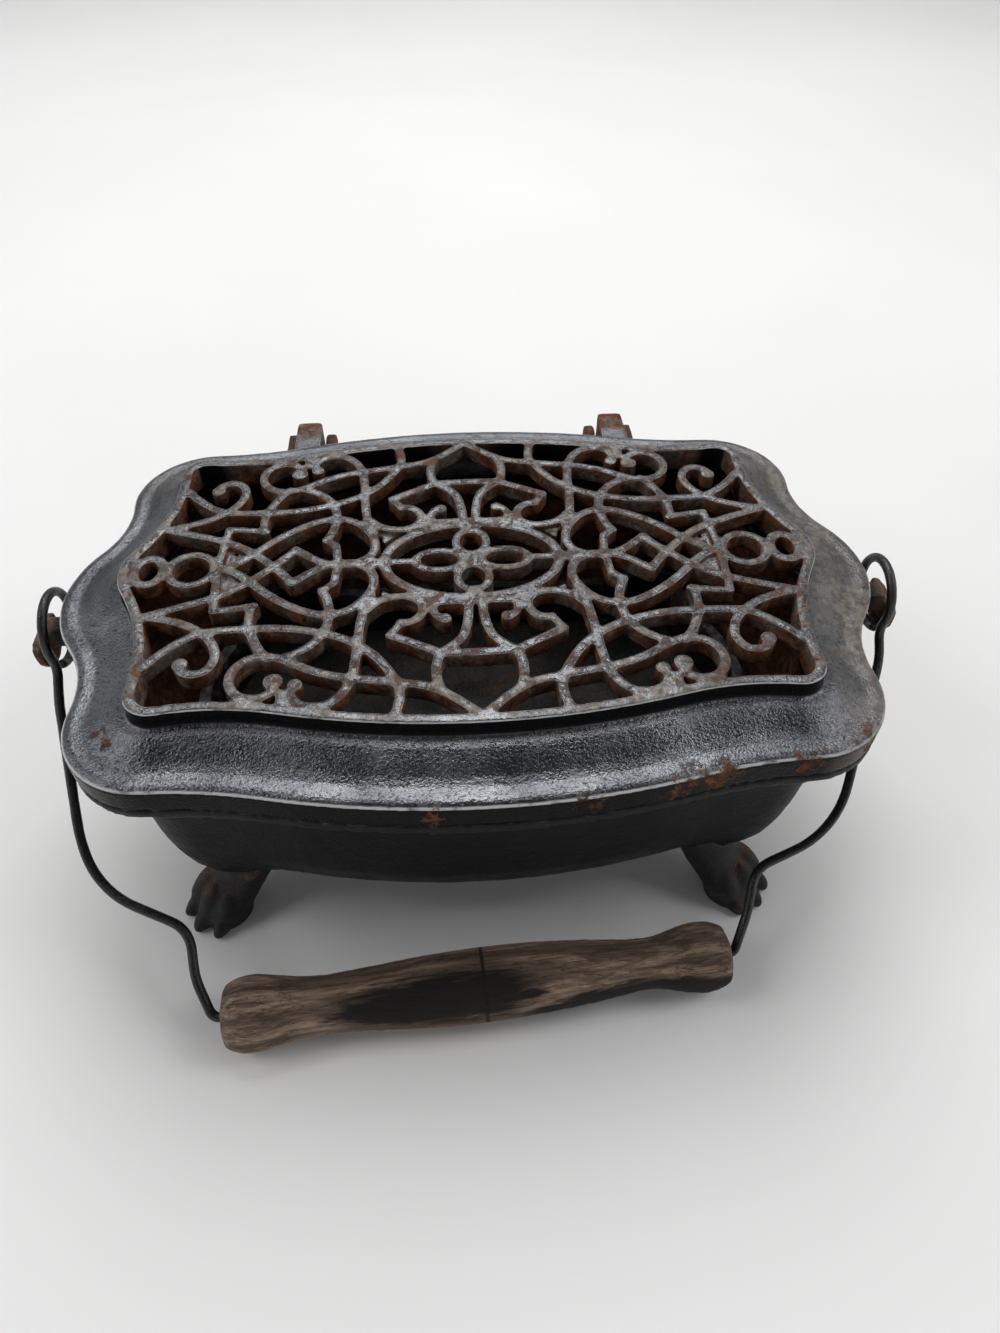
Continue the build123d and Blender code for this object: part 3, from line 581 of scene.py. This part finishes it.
feet = [name for name in nodes if name.startswith("foot_") and name != "foot_rivets"]
castings = (                        # node, voxel, rounds of softening, unevenness, share of the faces kept
    ("lid", 0.0006, 3, 0.00005, 0.40, lid_iron),
    ("tub", 0.0012, 5, 0.00015, 0.80, tub_iron),
    *((name, 0.0006, 9, 0.00015, 1.0, foot_iron) for name in feet),
    ("bail_wire", 0.0005, 2, 0.00005, 1.0, wire_iron),
    ("bail_grip", 0.0010, 3, 0.00020, 1.0, grip_wood),
)
for node, voxel, rounds, uneven, kept, material in castings:
    paint(cast(node, voxel, rounds, uneven, kept), material)
for node in ("hinge_pin_left", "hinge_pin_right", "foot_rivets"):
    paint(nodes[node], pin_iron)
paint(nodes["ember_pan"], pan_iron)


# ---------------------------------------------------------------- stage
SWEEP_HALF_WIDTH = 4.0
SWEEP_NEAR = -3.0                   # front end of the floor
SWEEP_BEND = 1.5                    # where the floor starts to turn up
SWEEP_RADIUS = 1.0
SWEEP_TOP = 4.0
SWEEP_SINK = 0.0002                 # keeps the floor just clear of the soles


def stage_material():
    g = Graph("sweep")
    colour = g.mix(g.patches("backdrop", 0.3, 0.7), (0.80, 0.795, 0.785), (0.835, 0.83, 0.825))
    g.feed(g.shader.inputs["Base Color"], colour)
    g.shader.inputs["Roughness"].default_value = 0.85
    g.shader.inputs["Specular IOR Level"].default_value = 0.2
    return g.material


def sweep():
    """Floor that curves up into a wall far behind."""
    profile = [(SWEEP_NEAR, 0.0), (SWEEP_BEND, 0.0)]
    for a in np.linspace(0.1, math.pi / 2, 12):
        profile.append((SWEEP_BEND + SWEEP_RADIUS * math.sin(a), SWEEP_RADIUS * (1 - math.cos(a))))
    profile.append((SWEEP_BEND + SWEEP_RADIUS, SWEEP_TOP))
    sides = (-SWEEP_HALF_WIDTH, SWEEP_HALF_WIDTH)
    vertices = [(x, y, z - SWEEP_SINK) for y, z in profile for x in sides]
    faces = [(2 * i, 2 * i + 1, 2 * i + 3, 2 * i + 2) for i in range(len(profile) - 1)]
    mesh = bpy.data.meshes.new("sweep")
    mesh.from_pydata(vertices, [], faces)
    mesh.polygons.foreach_set("use_smooth", np.ones(len(faces), bool))
    obj = bpy.data.objects.new("sweep", mesh)
    bpy.context.scene.collection.objects.link(obj)
    obj.data.materials.append(stage_material())


sweep()


# ---------------------------------------------------------------- light
LAMPS = (                           # name, place, target, size, watts
    ("above", (0.0, 0.92, 1.50), (0, 0, 0.05), 1.3, 19),
    ("left", (-1.3, -0.05, 1.45), (0, -0.1, 0.0), 0.8, 6.5),
    ("right", (1.3, -0.05, 1.45), (0, -0.1, 0.0), 0.8, 6.5),
)
SKY = (0.98, 0.99, 1.0, 1)
DIM_WAY = (0.0, -0.42, 0.91)        # the studio is dim overhead and a little in front
DIM_NEARNESS = (0.40, 0.92)         # cosines off that way between which it dims
DIM_STRENGTH = (0.85, 0.05)         # its strength at each


def lamp(name, place, target, size, watts):
    data = bpy.data.lights.new(name, "AREA")
    data.shape = "DISK"
    data.size = size
    data.energy = watts
    obj = bpy.data.objects.new(name, data)
    obj.location = place
    obj.rotation_euler = (Vector(target) - Vector(place)).to_track_quat("-Z", "Y").to_euler()
    bpy.context.scene.collection.objects.link(obj)


def studio():
    """Plain soft light from all round, apart from the dim part above the object."""
    world = bpy.data.worlds.new("studio")
    bpy.context.scene.world = world
    world.use_nodes = True
    sky = world.node_tree
    where = sky.nodes.new("ShaderNodeTexCoord")
    dot = sky.nodes.new("ShaderNodeVectorMath")
    dot.operation = "DOT_PRODUCT"
    sky.links.new(where.outputs["Generated"], dot.inputs[0])
    dot.inputs[1].default_value = Vector(DIM_WAY).normalized()
    shade = sky.nodes.new("ShaderNodeMapRange")
    shade.interpolation_type = "SMOOTHSTEP"
    sky.links.new(dot.outputs["Value"], shade.inputs["Value"])
    for socket, value in zip(shade.inputs[1:5], DIM_NEARNESS + DIM_STRENGTH):
        socket.default_value = value
    background = sky.nodes["Background"]
    background.inputs["Color"].default_value = SKY
    sky.links.new(shade.outputs[0], background.inputs["Strength"])


for row in LAMPS:
    lamp(*row)
studio()


# ---------------------------------------------------------------- camera
CAMERA_LENS = 24.3
CAMERA_SENSOR = 36.0
CAMERA_OFF = (-0.00808, -0.23677, 0.20589)          # from the middle of the grille's top
CAMERA_TURN = (42.0967, -0.3793, -3.9478)           # degrees


def photo_camera():
    """Camera at the photograph's own place and angle."""
    data = bpy.data.cameras.new("camera")
    data.lens = CAMERA_LENS
    data.sensor_width = CAMERA_SENSOR
    data.clip_start = 0.01
    camera = bpy.data.objects.new("camera", data)
    camera.location = Vector((0.0, tub_middle_y, top_z)) + Vector(CAMERA_OFF)
    camera.rotation_euler = [math.radians(a) for a in CAMERA_TURN]
    bpy.context.scene.collection.objects.link(camera)
    return camera


bpy.context.scene.camera = photo_camera()
bpy.context.scene.view_settings.view_transform = "Standard"

bpy.context.view_layer.update()
